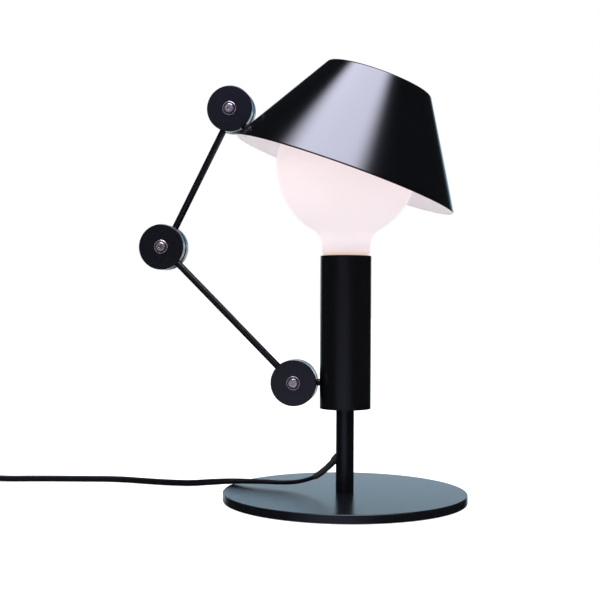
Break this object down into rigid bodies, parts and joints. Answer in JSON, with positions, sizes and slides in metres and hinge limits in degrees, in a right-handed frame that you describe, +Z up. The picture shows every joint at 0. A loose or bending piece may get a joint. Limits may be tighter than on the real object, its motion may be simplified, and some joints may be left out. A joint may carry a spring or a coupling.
{
  "type": "table lamp",
  "caption": "Table lamp with a round base, an opal globe bulb and a conical shade carried beside it on a jointed friction arm.",
  "frame": {"origin": "centre of the base's underside, on the table's surface and on the lamp's vertical axis", "axes": "+Z up along the post, +X towards the shade's lower side, -Y towards the front, where the joints' screws show"},
  "size_m": [0.6356, 0.223, 0.386],
  "materials": {
    "base_black": "satin",
    "pad_rubber": "matte",
    "body_black": "satin",
    "arm_black": "satin",
    "joint_black": "matte",
    "friction_rubber": "matte",
    "chrome": "polished",
    "steel": "satin",
    "shade_paint": "satin",
    "opal_glass": "satin",
    "clear_glass": "gloss",
    "cap_metal": "satin",
    "cap_insulator": "gloss",
    "brass": "satin",
    "holder_black": "satin",
    "holder_white": "satin",
    "wire_sheath": "satin",
    "relief_rubber": "matte",
    "cord_black": "satin",
    "tie_black": "matte",
    "switch_black": "gloss",
    "rocker_black": "gloss",
    "plug_black": "satin",
    "pin_nickel": "polished"
  },
  "bodies": {
    "stand": {"base_plate": "base_black", "base_pad": "pad_rubber", "post": "body_black", "housing_tube": "body_black", "housing_bottom_cap": "body_black", "housing_stub": "arm_black", "lower_joint_back_disc": "joint_black", "lower_joint_friction_washer": "friction_rubber", "lower_joint_screw": "chrome", "lower_joint_nut": "steel", "housing_stub_nut": "steel", "base_screw": "steel", "base_washer": "steel", "threaded_tube": "steel", "threaded_tube_nuts": "steel", "post_bottom_insert": "steel", "post_top_insert": "steel", "bulb_globe": "opal_glass", "bulb_stem": "clear_glass", "bulb_screw_cap": "cap_metal", "bulb_insulator": "cap_insulator", "bulb_tip_contact": "brass", "centre_contact": "brass", "terminal_screws": "brass", "lampholder_screw_shell": "brass", "switch_terminals": "brass", "lampholder_base": "holder_black", "lampholder_sleeve": "holder_black", "lampholder_insulator": "holder_white", "inner_wires": "wire_sheath", "strain_relief": "relief_rubber", "cord_lead": "cord_black", "cord_link": "cord_black", "cord_coil": "cord_black", "cord_tail": "cord_black", "coil_tie": "tie_black", "switch_base": "switch_black", "switch_cover": "switch_black", "plug_body": "plug_black", "plug_pins": "pin_nickel"},
    "lower_arm_group": {"lower_joint_front_disc": "joint_black", "lower_joint_cup_washer": "chrome", "lower_arm": "arm_black", "elbow_front_disc": "joint_black", "elbow_cup_washer": "chrome"},
    "upper_arm_group": {"elbow_back_disc": "joint_black", "elbow_friction_washer": "friction_rubber", "elbow_screw": "chrome", "elbow_nut": "steel", "upper_arm": "arm_black", "shade_joint_back_disc": "joint_black", "shade_joint_friction_washer": "friction_rubber", "shade_joint_screw": "chrome", "shade_joint_nut": "steel"},
    "shade_group": {"shade_joint_front_disc": "joint_black", "shade_joint_cup_washer": "chrome", "shade_stub": "arm_black", "shade_stub_nut": "steel", "shade": "shade_paint"},
    "rocker_group": {"switch_rocker": "rocker_black"}
  },
  "joints": [
    {"name": "lower_arm_hinge", "type": "hinge", "parent": "stand", "child": "lower_arm_group", "pos_m": [-0.04435, -0.00595, 0.1042], "axis": [0, 1, 0], "range_deg": [-4, 2]},
    {"name": "elbow_hinge", "type": "hinge", "parent": "lower_arm_group", "child": "upper_arm_group", "pos_m": [-0.16438, -0.00595, 0.22423], "axis": [0, 1, 0], "range_deg": [-120, 1.5]},
    {"name": "shade_hinge", "type": "hinge", "parent": "upper_arm_group", "child": "shade_group", "pos_m": [-0.1028, -0.00595, 0.34695], "axis": [0, 1, 0], "range_deg": [-120, 2]},
    {"name": "switch_rocker_hinge", "type": "hinge", "parent": "stand", "child": "rocker_group", "pos_m": [-0.407, 0.042, 0.0131], "axis": [0, 1, 0], "range_deg": [0, 14]}
  ]
}
